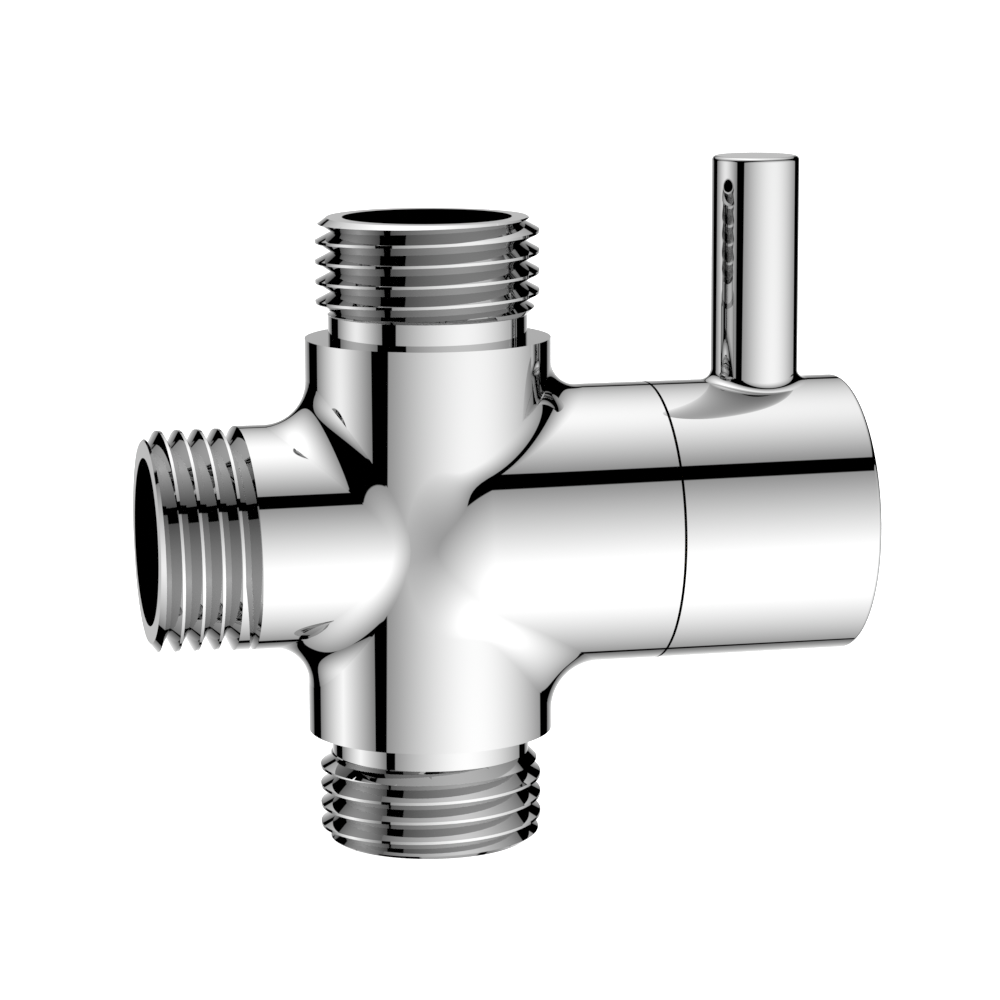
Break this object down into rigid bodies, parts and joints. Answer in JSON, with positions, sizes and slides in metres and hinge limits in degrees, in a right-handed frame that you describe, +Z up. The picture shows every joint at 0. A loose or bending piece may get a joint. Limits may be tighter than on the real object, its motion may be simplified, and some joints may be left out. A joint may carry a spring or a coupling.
{
  "type": "shower diverter valve",
  "caption": "Chrome-plated diverter valve with male threads to the left, above and below, and a round knob with a lever pin that sends the inlet's water up or down.",
  "frame": {"origin": "centre of the lower port's end face, on the axis of the two outlet ports", "axes": "+Z up along the barrel towards the upper port, +X along the horizontal axis towards the knob, -X towards the inlet port"},
  "size_m": [0.0672, 0.0264, 0.064],
  "materials": {
    "chrome_body": "polished chrome plate on cast brass",
    "chrome_handle": "polished chrome plate on cast metal",
    "steel": "plain steel",
    "brass": "turned brass",
    "cartridge_plastic": "moulded acetal",
    "washer_plastic": "slippery white plastic",
    "ceramic": "lapped alumina ceramic",
    "rubber": "matt black rubber"
  },
  "bodies": {
    "valve": {"valve_body": "chrome_body", "inlet_seal": "rubber", "upper_outlet_seal": "rubber", "lower_outlet_seal": "rubber", "cartridge_base": "cartridge_plastic", "disc_seal": "rubber", "fixed_disc": "ceramic", "cartridge_shell": "cartridge_plastic", "body_o_ring": "rubber", "thrust_washer": "washer_plastic", "retaining_nut": "brass"},
    "knob": {"handle": "chrome_handle", "handle_screw": "steel", "stem": "brass", "stem_o_ring_inner": "rubber", "stem_o_ring_outer": "rubber", "stem_clip": "steel", "stop_washer": "steel", "disc_carrier": "cartridge_plastic", "moving_disc": "ceramic"}
  },
  "joints": [
    {"name": "handle_turn", "type": "hinge", "parent": "valve", "child": "knob", "pos_m": [0.0319, 0, 0.0295], "axis": [1, 0, 0], "range_deg": [0, 180]}
  ]
}
